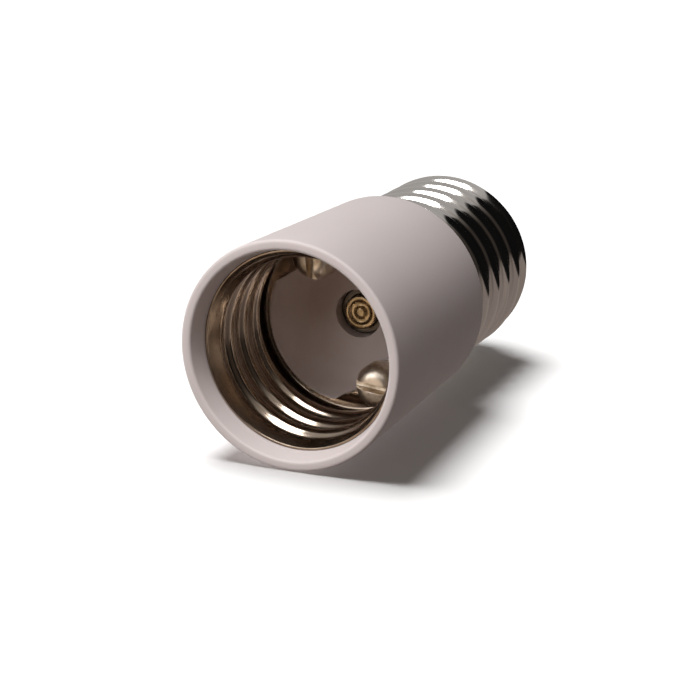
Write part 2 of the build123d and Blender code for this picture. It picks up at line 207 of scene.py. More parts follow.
def surface(name, points, groove=None):
    """Closed piece from points[station, column], wrapped both ways, in metres.

    Every square of four neighbouring points is a face. Points that fall together, as on
    an axis, are merged, and the faces turned outwards. groove is a function of the points
    that gives the attribute of that name, from 0 on a thread's ridge to 1 in its groove.
    """
    stations, columns = points.shape[:2]
    index = np.arange(stations * columns).reshape(stations, columns)
    index = np.concatenate((index, index[:1]), 0)
    index = np.concatenate((index, index[:, :1]), 1)
    quads = np.stack((index[:-1, :-1], index[:-1, 1:], index[1:, 1:], index[1:, :-1]), -1)
    mesh = bpy.data.meshes.new(name)
    mesh.from_pydata(points.reshape(-1, 3).tolist(), [], quads.reshape(-1, 4).tolist())
    work = bmesh.new()
    work.from_mesh(mesh)
    bmesh.ops.remove_doubles(work, verts=work.verts, dist=MERGE_DISTANCE)
    bmesh.ops.dissolve_degenerate(work, edges=work.edges, dist=SHORTEST_EDGE)
    bmesh.ops.recalc_face_normals(work, faces=work.faces)
    work.to_mesh(mesh)
    work.free()
    mesh.polygons.foreach_set("use_smooth", np.ones(len(mesh.polygons), dtype=bool))
    mesh.set_sharp_from_angle(angle=SHARP_ANGLE)
    if groove is not None:
        place = np.empty(len(mesh.vertices) * 3)
        mesh.vertices.foreach_get("co", place)
        values = groove(place.reshape(-1, 3)).astype(np.float32)
        mesh.attributes.new("groove", "FLOAT", "POINT").data.foreach_set("value", values)
    piece = bpy.data.objects.new(name, mesh)
    bpy.context.scene.collection.objects.link(piece)
    return piece


def rounded(corners, steps=5):
    """Outline through corners (radius, height, rounding) in mm, each rounded by a parabola.

    The rounding is how far the curve starts before the corner and ends after it.
    """
    corners = np.array(corners, dtype=float)
    place, reach = corners[:, :2], corners[:, 2:]
    back = np.roll(place, 1, 0) - place
    ahead = np.roll(place, -1, 0) - place
    back /= np.maximum(np.linalg.norm(back, axis=1, keepdims=True), 1e-9)
    ahead /= np.maximum(np.linalg.norm(ahead, axis=1, keepdims=True), 1e-9)
    share = np.linspace(0, 1, steps)[None, :, None]
    start, end = (place + back * reach)[:, None], (place + ahead * reach)[:, None]
    curve = (1 - share) ** 2 * start + 2 * share * (1 - share) * place[:, None] + share**2 * end
    return curve.reshape(-1, 2)


def lathe(outline, columns=96, centre=(0, 0), waver=None):
    """Points of an outline (radius, height), mm, turned about Z: (r cos a, r sin a, z).

    waver is a function of angle and outline that gives what is added to radius and height.
    """
    angle = np.linspace(0, 2 * np.pi, columns, endpoint=False)[None, :]
    radius = np.repeat(outline[:, :1], columns, 1)
    height = np.repeat(outline[:, 1:], columns, 1)
    if waver is not None:
        extra_r, extra_z = waver(angle, radius, height)
        radius, height = radius + extra_r, height + extra_z
    x = radius * np.cos(angle) + centre[0]
    y = radius * np.sin(angle) + centre[1]
    return np.stack((x, y, height), -1) * MM


def thread_radius(angle, height, crest_height, pitch, major, minor):
    """Radius of a round right-hand thread.

    Along the axis it is made of two equal arcs that meet without a corner, a crest and a
    root, each (pitch^2 / 4 + depth^2) / (4 depth) in radius; the angle shifts it by one
    pitch a turn.
    """
    depth = major - minor
    arc = (pitch**2 / 4 + depth**2) / (4 * depth)
    turn = (height - crest_height) / pitch - angle / (2 * np.pi)
    off = np.abs((turn + 0.5) % 1 - 0.5) * pitch
    crest = major - arc + np.sqrt(np.maximum(arc**2 - off**2, 0))
    root = minor + arc - np.sqrt(np.maximum(arc**2 - (pitch / 2 - off) ** 2, 0))
    return np.where(off < pitch / 4, crest, root)


def soft_min(a, b, blend):
    """Lower of two values, with the corner between them rounded over blend."""
    near = np.clip(0.5 + 0.5 * (b - a) / blend, 0, 1)
    return b + (a - b) * near - blend * near * (1 - near)


def soft_max(a, b, blend):
    """Higher of two values, with the corner between them rounded over blend."""
    return -soft_min(-a, -b, blend)


def socket_points(shell):
    """Points of the socket shell: a section across the sheet, carried round the axis.

    The section runs down the threaded inside from the mouth, round the bend, in along the
    flange to its edge, back under it and up the outside. The inside is the highest of the
    thread, a cone at the mouth and a plain end. The flange's edge is a ring, but near the
    X axis it follows the outline of a lug: a straight edge with a narrow tongue.
    """
    angle = np.linspace(0, 2 * np.pi, shell.columns, endpoint=False)[None, :]
    mouth = SHELL_BOX[0][2]
    seat = SHELL_BOX[1][2]
    major, minor, sheet = shell.socket_major, shell.socket_minor, shell.sheet
    depth = major - minor
    lead, run_out, plain, swell = 3.6 * MM, 3.4 * MM, 3.0 * MM, 0.1 * MM
    blend, bend, top_edge = 0.25 * MM, 0.9 * MM, 0.05 * MM
    ring, lip_reach = 17.65 * MM, 0.12 * MM

    def inside(height):
        thread = thread_radius(angle, height, shell.socket_groove, shell.pitch, major, minor)
        cone = minor + (depth + swell) * (mouth + lead - height) / lead
        end = minor + (depth + swell) * np.minimum(1, 1 + (height - seat + plain) / run_out)
        return soft_max(soft_max(thread, cone, blend), end, blend)

    def carried(radius, height):
        x, y = radius * np.cos(angle), radius * np.sin(angle)
        return np.stack((x, y, height + 0 * radius), -1)

    inner_z = np.linspace(mouth + top_edge, seat - sheet - bend, 112)[:, None]
    inner_r = inside(inner_z)
    arc = np.linspace(0, np.pi / 2, 7)[1:, None]
    end_r = inner_r[-1:]
    bend_r = end_r - bend + bend * np.cos(arc)
    bend_z = seat - sheet - bend + bend * np.sin(arc)
    wall = carried(np.concatenate((inner_r, bend_r)), np.concatenate((inner_z, bend_z)))

    edge = flange_edge(angle[0], shell, ring)
    edge = np.stack((edge[:, 0], edge[:, 1], np.full(len(edge), seat - sheet)), -1)
    share = np.linspace(0, 1, 10)[1:, None, None]
    flange = wall[-1:] + (edge[None] - wall[-1:]) * share
    inward = edge - flange[-2]
    inward[:, 2] = 0
    inward /= np.linalg.norm(inward, axis=1, keepdims=True)
    flange[-1] -= inward * lip_reach
    turned = np.linspace(0, np.pi, 7)[1:-1, None, None]
    lip = (
        flange[-1:]
        + inward[None] * lip_reach * np.sin(turned)
        + np.array((0, 0, 1)) * sheet / 2 * (1 - np.cos(turned))
    )
    under = flange[::-1] + np.array((0, 0, sheet))

    outer_bend = bend + sheet
    arc = np.linspace(np.pi / 2, 0, 7)[:, None]
    back_r = end_r - bend + outer_bend * np.cos(arc)
    back_z = seat - outer_bend + outer_bend * np.sin(arc)
    outer_z = np.linspace(seat - outer_bend, mouth + top_edge, 80)[1:, None]
    outer_r = np.concatenate((back_r, inside(outer_z) + sheet))
    outside = carried(outer_r, np.concatenate((back_z, outer_z)))
    turned = np.linspace(0, np.pi, 7)[1:-1, None]
    top_r = outer_r[-1:] - sheet / 2 + sheet / 2 * np.cos(turned)
    top = carried(top_r, mouth + top_edge * (1 - np.sin(turned)))
    return np.concatenate((wall, flange, lip, under, outside, top))


def flange_edge(angle, shell, ring, margin=0.0):
    """Edge (x, y) by column: a circle of radius ring, with a lug's outline near the X axis.

    The outline runs from the axis line along the end of a narrow tongue, round its
    corner and along its side, and then along the lug's straight edge out to the circle.
    A column within the lug's share of the circle takes the same share of the outline's
    length. margin moves the outline away from the lug.
    """
    lug, reach = shell.lug_edge - margin, shell.tongue_reach - margin
    half = shell.tongue_half + margin
    corner, heel = 2.0 * MM, 0.7 * MM
    limit = math.acos(lug / ring)
    turn = np.linspace(np.pi, np.pi / 2, 9)
    back = np.linspace(-np.pi / 2, 0, 5)
    x = np.concatenate(
        (
            [reach],
            reach + corner + corner * np.cos(turn),
            lug - heel + heel * np.cos(back),
            [lug],
        )
    )
    y = np.concatenate(
        (
            [0],
            half - corner + corner * np.sin(turn),
            half + heel + heel * np.sin(back),
            [ring * math.sin(limit)],
        )
    )
    run = np.concatenate(([0], np.cumsum(np.hypot(np.diff(x), np.diff(y)))))
    side = np.where(np.cos(angle) < 0, -1.0, 1.0)
    off = np.arctan2(np.sin(angle), np.abs(np.cos(angle)))
    share = np.clip(np.abs(off) / limit, 0, 1) * run[-1]
    on_lug = np.abs(off) < limit
    return np.stack(
        (
            np.where(on_lug, np.interp(share, run, x) * side, ring * np.cos(angle)),
            np.where(on_lug, np.interp(share, run, y) * np.sign(off), ring * np.sin(angle)),
        ),
        -1,
    )


def bowl_height(radius):
    """Height of the hollow round the contact: flat floor, then a quarter round to a shoulder.

    The arc starts straight up at the shoulder's edge, so its centre is level with it.
    """
    rim, foot, top, floor = 17.1 * MM, 11.5 * MM, 28.5 * MM, FLOOR_HEIGHT * MM
    width, depth = rim - foot, floor - top
    arc = (width**2 + depth**2) / (2 * width)
    inward = np.clip(radius - (rim - arc), 0, arc)
    round_z = top + np.sqrt(np.maximum(arc**2 - inward**2, 0))
    return np.where(radius < foot, floor, np.minimum(round_z, floor))


def housing_points(shell):
    """Points of the moulded housing: one section, from the contact's well out over the
    floor, up the shell's bore, over the rim, down the drafted outside, and back through
    the channel and the hollow neck, carried round the axis.

    The floor follows bowl_height out to the shoulder's edge, which near the X axis is the
    outline of a lug; beyond it lies the seat of the shell. Two slots open the neck behind
    the screws, in the columns near the X axis. The radii and heights of the outlines are
    in mm.
    """
    angle = np.linspace(0, 2 * np.pi, shell.columns, endpoint=False)
    cos, sin = np.cos(angle)[None, :], np.sin(angle)[None, :]
    well, shelf, boss, boss_end, rod_hole = 5.0, 38.2, 8.0, 44.0, 4.5
    bore, channel, neck, hollow = 20.5, 19.85, 17.15, 14.95
    web, channel_end, neck_end = 38.5, 44.5, 66
    slot, slot_half, slot_middle = 19.3, 4.7, 16
    shoulder, clearance, bunching = 17.5 * MM, 0.2 * MM, 0.8
    lead_in, lead_out, lead_share = 0.04 * MM, 0.07 * MM, 0.06

    def turned(outline):
        r, z = outline[:, :1] * MM, outline[:, 1:] * MM
        return np.stack((r * cos, r * sin, z + 0 * r * cos), -1)

    # Each corner gives three points; the last corner's repeats are left out
    level_floor = ((well, FLOOR_HEIGHT, 0.25), (7.2, FLOOR_HEIGHT, 0), (9.4, FLOOR_HEIGHT, 0))
    floor = turned(rounded(level_floor, 3)[:-2])
    edge = flange_edge(angle, shell, shoulder, clearance)[None]
    inner = floor[-1:, :, :2]
    share = np.linspace(0, 1, 40)[1:, None, None] ** bunching
    spread = inner + (edge - inner) * share
    reach = np.hypot(spread[..., 0], spread[..., 1])
    bowl = np.concatenate((spread, bowl_height(reach)[..., None]), -1)
    top, seat = bowl[-1:, :, 2:], SEAT_HEIGHT * MM
    edge_reach = reach[-1][None, :, None]
    wall = [
        np.concatenate(
            (edge + lead_in * edge / edge_reach, top + (seat - top) * lead_share), -1
        ),
        np.concatenate((edge + lead_out * edge / edge_reach, top * 0 + seat), -1),
    ]
    outside = turned(
        rounded(
            (
                (bore, SEAT_HEIGHT, 0.2), (bore, 18.0, 0), (bore, 4.7, 0.3), (21.4, 0, 0.6),
                (RIM_RADIUS, 0, 0.8), (23.1, 12.5, 0), (22.69, 25, 0), (22.28, 37.5, 0),
                (BACK_RADIUS, BODY_LENGTH, 0.9), (channel, BODY_LENGTH, 0.25),
            ),
            7,
        )
    )
    closed = (
        (channel, channel_end), (neck, channel_end), (neck, 50), (neck, neck_end),
        (hollow, neck_end), (hollow, 50), (hollow, web),
    )
    slotted = (
        (channel, channel_end), (slot, channel_end), (slot, 42), (slot, web),
        (18.5, web), (17, web), (hollow, web),
    )
    in_slot = (np.abs(slot_middle * sin) < slot_half)[..., None]
    behind = np.where(in_slot, turned(np.array(slotted)), turned(np.array(closed)))
    middle = (
        (boss, web), (boss, boss_end), (rod_hole, boss_end), (rod_hole, shelf), (well, shelf),
    )
    return np.concatenate((floor, bowl, *wall, outside, behind, turned(np.array(middle))))


def cap_points(shell):
    """Points of the cap shell: a section across the sheet, carried round the axis.

    The outside is the lower of the thread and an envelope, which is a cylinder, a quarter
    round and a cone in to the end's opening. The inside is one sheet within it: round the
    bend it moves along the axis by that much and across it by less.
    """
    angle = np.linspace(0, 2 * np.pi, shell.columns, endpoint=False)[None, :]
    low, high = CAP_BOX[0][2], CAP_BOX[1][2]
    end_round, cone, opening = 3.4 * MM, 1.4 * MM, 13.8 * MM
    blend, lost_at_bend = 0.35 * MM, 0.75
    side = shell.cap_major + 0.3 * MM
    round_z = high - cone - end_round

    def outline(straight, bent, coned):
        z = np.linspace(low, round_z, straight)
        turn = np.linspace(0, np.pi / 2, bent)[1:]
        share = np.linspace(0, 1, coned)[1:]
        height = np.concatenate(
            (z, round_z + end_round * np.sin(turn), high - cone + cone * share)
        )
        reach = np.concatenate(
            (
                np.full(straight, side),
                side - end_round + end_round * np.cos(turn),
                side - end_round + (opening - side + end_round) * share,
            )
        )
        return reach[:, None], height[:, None]

    def skin(straight, bent, coned, inset):
        reach, height = outline(straight, bent, coned)
        thread = thread_radius(
            angle, height, shell.cap_crest, shell.pitch, shell.cap_major, shell.cap_minor
        )
        radius = soft_min(thread, reach, blend)
        height = height + 0 * radius
        drop = np.clip((height - round_z) / end_round, 0, 1)
        radius = radius - inset * (1 - lost_at_bend * drop)
        height = height - inset * drop
        return np.stack((radius * np.cos(angle), radius * np.sin(angle), height), -1)

    outer = skin(168, 12, 6, 0)
    inner = skin(84, 8, 4, shell.sheet)[::-1]
    return np.concatenate((outer, inner))


def groove_mask(major, minor, inside):
    """Function of points that is 0 on the ridge that shows and 1 in the groove beside it."""

    def mask(place):
        radius = np.hypot(place[:, 0], place[:, 1])
        share = np.clip((radius - minor) / (major - minor), 0, 1)
        return share if inside else 1 - share

    return mask


def screw_head_points(at_x, turn):
    """Points of a slotted pan head: chords along the slot, round both faces of the head.

    Along a chord the top's height is that of a shallow dome with a round edge, or the
    slot's floor where that is deeper; the wall of the slot lies between two chords.
    wall_off says how far each chord at the slot's wall lies from it, and wall_cut how
    deep it is there. All lengths are in mm.
    """
    radius, top, seat, round_off, dome = 4.75, 25.7, 31.05, 2.6, 0.4
    slot_half, slot_depth, first_chord = 0.75, 2.2, 0.9
    wall_off = np.array((-0.12, -0.05, -0.01, 0.01, 0.05, 0.13, 0.2))
    wall_cut = (slot_depth, slot_depth - 0.03, slot_depth - 0.1, 0.16, 0.07, 0.02, 0)
    floor_chords = (0, 0.3, -0.3)
    wall = slot_half + wall_off
    sine = np.sin(np.linspace(-np.pi / 2, np.pi / 2, 57))
    across = radius * sine
    across = across[np.abs(across) > first_chord]
    across = np.unique(np.concatenate((across, wall, -wall, floor_chords)))
    along = np.concatenate((sine, sine[::-1]))
    chord = np.sqrt(np.maximum(radius**2 - across**2, 0))[:, None]
    u = chord * along[None, :]
    v = across[:, None] + 0 * u
    r = np.hypot(u, v)
    edge = np.maximum(r - (radius - round_off), 0)
    height = top + dome * (r / radius) ** 2
    height += round_off - np.sqrt(np.maximum(round_off**2 - edge**2, 0))
    cut = np.interp(np.abs(v) - slot_half, wall_off, wall_cut)
    height = np.maximum(height, top + cut * (np.abs(v) < wall[-1]))
    height[:, along.size // 2:] = seat
    cos, sin = math.cos(turn), math.sin(turn)
    return np.stack((at_x + u * cos - v * sin, u * sin + v * cos, height), -1) * MM


def spring_points():
    """Points of the contact spring: a round wire carried along a helix, pointed at its ends.

    The wire's middle is (r cos a, r sin a, z), with z rising by one pitch for each turn.
    """
    coil, wire, low, rise, turns = 3.375, 0.275, 39.275, 6.75, 6
    steps_a_turn, steps_round_wire, point_sharpness = 48, 12, 400
    share = np.linspace(0, 1, steps_a_turn * turns + 1)
    angle = (share * turns * 2 * np.pi)[:, None]
    to_end = np.minimum(share, 1 - share)
    thick = wire * np.sqrt(np.clip(to_end * point_sharpness, 0, 1))[:, None]
    round_wire = np.linspace(0, 2 * np.pi, steps_round_wire, endpoint=False)[None, :]
    radius = coil + thick * np.cos(round_wire)
    height = low + rise * share[:, None] + thick * np.sin(round_wire)
    return np.stack((radius * np.cos(angle), radius * np.sin(angle), height), -1) * MM


def glass_ripple(angle, radius, height):
    """Uneven surface of the fused glass, from the edge of the shell in to the contact."""
    foot, foot_fade, contact, contact_fade, sunk = 87.05, 0.6, 8.0, 1.5, 0.1
    shown = np.clip((height - foot) / foot_fade, 0, 1)
    shown = shown * np.clip((radius - contact) / contact_fade, 0, 1)
    swell = 0.07 * np.sin(3 * angle + 0.7) + 0.05 * np.sin(5 * angle + 2.1 + 0.8 * radius)
    return 0 * radius, -shown * (sunk + swell)


def solder_waver(angle, radius, height):
    """Slightly domed and uneven top of the tinned end contact."""
    foot, fade, edge, dome, ripple = 91.5, 0.5, 8.2, 0.16, 0.05
    shown = np.clip((height - foot) / fade, 0, 1)
    drop = dome * (radius / edge) ** 2 + ripple * np.sin(2 * angle + 0.4 + radius * 0.5) ** 2
    return 0 * radius, -shown * drop


# ---- node groups

def add_node(tree, kind, **values):
    """New node with the given properties set."""
    made = tree.nodes.new(kind)
    for key, value in values.items():
        setattr(made, key, value)
    return made


def group(name, inputs, outputs):
    """New shader group with float inputs {name: value} and the named outputs."""
    tree = bpy.data.node_groups.new(name, "ShaderNodeTree")
    for key, value in inputs.items():
        socket = tree.interface.new_socket(key, in_out="INPUT", socket_type="NodeSocketFloat")
        socket.default_value = value
    for key in outputs:
        tree.interface.new_socket(key, in_out="OUTPUT", socket_type="NodeSocketFloat")
    return tree, add_node(tree, "NodeGroupInput"), add_node(tree, "NodeGroupOutput")


def noise(tree, stretch, scale, detail, rough):
    """Noise value on Object coordinates, stretched by a scale for each axis."""
    place = add_node(tree, "ShaderNodeTexCoord")
    mapping = add_node(tree, "ShaderNodeMapping")
    mapping.inputs["Scale"].default_value = stretch
    texture = add_node(tree, "ShaderNodeTexNoise")
    texture.inputs["Detail"].default_value = detail
    texture.inputs["Roughness"].default_value = rough
    tree.links.new(place.outputs["Object"], mapping.inputs["Vector"])
    tree.links.new(mapping.outputs["Vector"], texture.inputs["Vector"])
    if isinstance(scale, (int, float)):
        texture.inputs["Scale"].default_value = scale
    else:
        tree.links.new(scale, texture.inputs["Scale"])
    return texture.outputs["Fac"]


def math_node(tree, operation, a, b, clamp=False):
    """Value of a sum, product or other operation on sockets or numbers."""
    made = add_node(tree, "ShaderNodeMath", operation=operation, use_clamp=clamp)
    for socket, value in zip(made.inputs, (a, b)):
        if isinstance(value, (int, float)):
            socket.default_value = value
        else:
            tree.links.new(value, socket)
    return made.outputs[0]


def ranged(tree, value, low, high, to_low=0.0, to_high=1.0):
    """Value carried smoothly from one range to another."""
    made = add_node(tree, "ShaderNodeMapRange", interpolation_type="SMOOTHSTEP")
    limits = {"From Min": low, "From Max": high, "To Min": to_low, "To Max": to_high}
    for key, number in limits.items():
        made.inputs[key].default_value = number
    tree.links.new(value, made.inputs["Value"])
    return made.outputs["Result"]


def blended(tree, share, first, second):
    """Colour between two colours or colour sockets, by a share from 0 to 1."""
    made = add_node(tree, "ShaderNodeMix", data_type="RGBA")
    tree.links.new(share, made.inputs["Factor"])
    for at, value in ((MIX_FIRST, first), (MIX_SECOND, second)):
        socket = made.inputs[at]
        if isinstance(value, bpy.types.NodeSocket):
            tree.links.new(value, socket)
        else:
            socket.default_value = (*value, 1)
    return made.outputs[MIX_RESULT]


def mould_grain():
    """Fine grain of a satin moulding, with slow flow marks along it."""
    tree, given, out = group("Mould grain", {"Grain size": 3200.0}, ("Grain", "Flow"))
    grain = noise(tree, (1, 1, 1), given.outputs["Grain size"], 2, 0.6)
    flow = noise(tree, (1, 1, 0.35), 85, 3, 0.55)
    tree.links.new(grain, out.inputs["Grain"])
    tree.links.new(ranged(tree, flow, 0.3, 0.7), out.inputs["Flow"])
    return tree


def rolled_lines():
    """Lines that rolling or turning leaves round the axis, fine and broad."""
    tree, given, out = group("Rolled lines", {"Lines per metre": 5200.0}, ("Line", "Band"))
    line = noise(tree, (0.012, 0.012, 1), given.outputs["Lines per metre"], 4, 0.7)
    band = noise(tree, (0.05, 0.05, 1), 620, 2, 0.5)
    tree.links.new(line, out.inputs["Line"])
    tree.links.new(ranged(tree, band, 0.35, 0.65), out.inputs["Band"])
    return tree


def groove_film():
    """Film that gathers in a thread's grooves, broken up by blotches."""
    tree, given, out = group("Groove film", {"Amount": 0.5}, ("Film",))
    groove = add_node(tree, "ShaderNodeAttribute", attribute_name="groove")
    blotch = ranged(tree, noise(tree, (1, 1, 1), 240, 4, 0.6), 0.25, 0.75, 0.35, 1.0)
    film = math_node(tree, "MULTIPLY", ranged(tree, groove.outputs["Fac"], 0.35, 1.0), blotch)
    film = math_node(tree, "MULTIPLY", film, given.outputs["Amount"], True)
    tree.links.new(film, out.inputs["Film"])
    return tree


def handling_marks():
    """Smudges from handling, and sparse fine scratches, as two masks."""
    tree, given, out = group("Handling marks", {"Smudge size": 110.0}, ("Smudge", "Scratch"))
    smudge = noise(tree, (1, 1, 1), given.outputs["Smudge size"], 4, 0.6)
    scratch = noise(tree, (1, 0.06, 0.4), 2400, 1, 0.4)
    tree.links.new(ranged(tree, smudge, 0.42, 0.68), out.inputs["Smudge"])
    tree.links.new(ranged(tree, scratch, 0.66, 0.72), out.inputs["Scratch"])
    return tree


def placed(tree, source, **values):
    """Group placed in a material, with its own values."""
    made = add_node(tree, "ShaderNodeGroup", node_tree=source)
    for key, value in values.items():
        made.inputs[key.replace("_", " ")].default_value = value
    return made.outputs


def finish(name, metallic, depth):
    """New material with a Principled shader, and its tree, shader and a bump node.

    depth is the height in metres of what is linked to the bump, where it is 1.
    """
    made = bpy.data.materials.new(name)
    made.use_nodes = True
    tree = made.node_tree
    shader = tree.nodes["Principled BSDF"]
    shader.inputs["Metallic"].default_value = metallic
    bump = add_node(tree, "ShaderNodeBump")
    bump.inputs["Strength"].default_value = 1
    bump.inputs["Distance"].default_value = depth
    tree.links.new(bump.outputs["Normal"], shader.inputs["Normal"])
    return made, tree, shader, bump


def roughen(tree, shader, base, *parts):
    """Roughness from a base and from masks, each with what it adds where it is 1."""
    rough = base
    for mask, share in parts:
        rough = math_node(tree, "ADD", math_node(tree, "MULTIPLY", mask, share), rough, True)
    tree.links.new(rough, shader.inputs["Roughness"])


def tinted(tint, factors):
    """Colour with red, green and blue each multiplied by a factor."""
    return [value * factor for value, factor in zip(tint, factors)]


def moulding(colours, groups):
    """Satin off-white moulding: even colour with faint flow, a fine grain, and smudges."""
    made, tree, shader, bump = finish("Satin moulding", 0, 0.012 * MM)
    shader.inputs["Specular IOR Level"].default_value = 0.2
    grain = placed(tree, groups["grain"])
    marks = placed(tree, groups["marks"])
    warm = tinted(colours.moulding, (0.975, 0.97, 0.965))
    tone = blended(tree, grain["Flow"], tuple(colours.moulding), warm)
    tree.links.new(tone, shader.inputs["Base Color"])
    roughen(tree, shader, 0.52, (marks["Smudge"], -0.06))
    tree.links.new(grain["Grain"], bump.inputs["Height"])
    return made


def nickel(name, tint, film_tint, film_amount, roughness, groups):
    """Bright plate on rolled sheet: lines round the axis, film in the grooves, smudges."""
    made, tree, shader, bump = finish(name, 1, 0.0015 * MM)
    rolled = placed(tree, groups["lines"], Lines_per_metre=5200.0)
    film = placed(tree, groups["film"], Amount=film_amount)
    marks = placed(tree, groups["marks"])
    dull = tinted(tint, (0.86, 0.86, 0.86))
    tone = blended(tree, rolled["Band"], tuple(tint), dull)
    tone = blended(tree, film["Film"], tone, tuple(film_tint))
    tree.links.new(tone, shader.inputs["Base Color"])
    roughen(
        tree, shader, roughness,
        (marks["Smudge"], 0.05), (film["Film"], 0.14), (rolled["Line"], 0.03),
    )
    scratch = math_node(tree, "MULTIPLY", marks["Scratch"], -0.5)
    tree.links.new(math_node(tree, "ADD", rolled["Line"], scratch), bump.inputs["Height"])
    return made


def turned_metal(name, tint, roughness, groups, lines=7000.0):
    """Turned or drawn metal without a thread: fine lines, smudges and a duller tone."""
    made, tree, shader, bump = finish(name, 1, 0.008 * MM)
    rolled = placed(tree, groups["lines"], Lines_per_metre=lines)
    marks = placed(tree, groups["marks"], Smudge_size=420.0)
    dull = tinted(tint, (0.72, 0.66, 0.58))
    tone = blended(tree, marks["Smudge"], tuple(tint), dull)
    tree.links.new(tone, shader.inputs["Base Color"])
    roughen(tree, shader, roughness, (marks["Smudge"], 0.14))
    tree.links.new(rolled["Line"], bump.inputs["Height"])
    return made


def black_glass(colours, groups):
    """Fused black glass: near black, glossy, with a faint grey bloom."""
    made, tree, shader, bump = finish("Black glass", 0, 0.03 * MM)
    marks = placed(tree, groups["marks"], Smudge_size=260.0)
    grain = placed(tree, groups["grain"], Grain_size=900.0)
    bloom = [value + 0.02 for value in colours.glass]
    tone = blended(tree, marks["Smudge"], tuple(colours.glass), bloom)
    tree.links.new(tone, shader.inputs["Base Color"])
    roughen(tree, shader, 0.1, (marks["Smudge"], 0.16))
    tree.links.new(grain["Grain"], bump.inputs["Height"])
    return made


def shader_groups():
    """The groups that the materials share, made once and found again by name."""
    makers = {
        "grain": ("Mould grain", mould_grain),
        "lines": ("Rolled lines", rolled_lines),
        "film": ("Groove film", groove_film),
        "marks": ("Handling marks", handling_marks),
    }
    return {
        key: bpy.data.node_groups.get(name) or maker()
        for key, (name, maker) in makers.items()
    }


def dress(node, material):
    """Gives a CAD node's object one material."""
    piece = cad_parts[node]
    piece.data.materials.clear()
    piece.data.materials.append(material)


def settle(piece, node, body, material):
    """New piece stands for a CAD node, rides on its body and takes the given material."""
    piece.data.materials.append(material)
    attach(piece, body)
    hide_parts(node)


# ---- operators

class LAMP_OT_housing(bpy.types.Operator):
    """Makes the moulded housing with its satin off-white finish"""

    bl_idname = "lamp_adapter.housing"
    bl_label = "Housing"

    def execute(self, context):
        shell = context.scene.adapter_shells
        satin = moulding(context.scene.adapter_finish, shader_groups())
        housing = surface("moulded_housing", housing_points(shell))
        settle(housing, "housing", "body", satin)
        return {"FINISHED"}


class LAMP_OT_shells(bpy.types.Operator):
    """Makes the two threaded sheet shells"""

    bl_idname = "lamp_adapter.shells"
    bl_label = "Threaded shells"

    def execute(self, context):
        shell, colours = context.scene.adapter_shells, context.scene.adapter_finish
        groups = shader_groups()
        socket = surface(
            "threaded_socket",
            socket_points(shell),
            groove_mask(shell.socket_major, shell.socket_minor, True),
        )
        # The socket's plate takes its darker, browner colour, which is painted shade and painted
        # warm reflection inside the mouth.
        warm = nickel("Socket nickel, painted shade", colours.shaded_socket_nickel, colours.tarnish, 0.8, 0.10, groups)
        settle(socket, "socket_shell", "body", warm)
        cap = surface(
            "threaded_cap",
            cap_points(shell),
            groove_mask(shell.cap_major, shell.cap_minor, False),
        )
        bright = nickel("Cap nickel", colours.cap_nickel, colours.tarnish, 0.30, 0.07, groups)
        settle(cap, "cap_shell", "body", bright)
        return {"FINISHED"}


class LAMP_OT_screws(bpy.types.Operator):
    """Makes the two slotted screws that hold the socket shell"""

    bl_idname = "lamp_adapter.screws"
    bl_label = "Shell screws"

    def execute(self, context):
        colours = context.scene.adapter_finish
        plate = turned_metal("Screw nickel", colours.screw_nickel, 0.34, shader_groups())
        radius, start, end = 2.45, 30.9, 43.05
        shank = rounded(((0, start, 0), (radius, start, 0), (radius, end, 0.3), (0, end, 0)))
        for node, at_x, turn in (
            ("shell_screw_lower", SCREW_PLACE, math.radians(-55)),
            ("shell_screw_upper", -SCREW_PLACE, math.radians(25)),
        ):
            head = surface(node + "_head", screw_head_points(at_x, turn))
            settle(head, node, "body", plate)
            body = surface(node + "_shank", lathe(shank, 48, (at_x, 0)))
            body.data.materials.append(plate)
            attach(body, "body")
        return {"FINISHED"}


class LAMP_OT_contact(bpy.types.Operator):
    """Makes the spring contact: its sleeve, its plunger and its spring"""

    bl_idname = "lamp_adapter.contact"
    bl_label = "Spring contact"

    def execute(self, context):
        colours = context.scene.adapter_finish
        groups = shader_groups()
        sleeve = rounded(
            (
                (3.63, 37.2, 0.2), (4.92, 37.2, 0.25), (4.92, 38.2, 0.15), (4.4, 38.2, 0.1),
                (4.4, 47.5, 0.3), (1.5, 47.5, 0.1), (1.5, 46.3, 0.1), (3.95, 46.3, 0.3),
                (3.95, 37.8, 0.2), (3.63, 37.8, 0.1),
            )
        )
        # The sleeve's near-black plate is painted shade for the deep well that it sits in.
        plate = turned_metal("Sleeve nickel, painted shade", colours.sleeve, 0.35, groups)
        cup = surface("spring_sleeve", lathe(sleeve))
        settle(cup, "contact_sleeve", "body", plate)
        plunger = rounded(
            (
                (0, 35.5, 0), (1.05, 35.5, 0.35), (1.35, 36.05, 0.25), (2.3, 36.05, 0.35),
                (2.62, 35.5, 0.25), (3.55, 35.5, 0.4), (3.55, 37.88, 0.05), (3.87, 37.88, 0.1),
                (3.87, 38.88, 0.1), (3.55, 38.88, 0.05), (3.55, 39, 0.05), (2.2, 39, 0.1),
                (2.2, 41, 0.2), (0, 41, 0),
            )
        )
        brass = turned_metal("Plunger brass", colours.brass, 0.22, groups, 9000.0)
        pin = surface("contact_pin", lathe(plunger))
        settle(pin, "contact_plunger", "plunger", brass)
        spring = surface("coiled_spring", spring_points())
        steel = turned_metal("Spring steel", colours.spring, 0.3, groups)
        settle(spring, "contact_spring", "body", steel)
        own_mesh(spring)
        return {"FINISHED"}


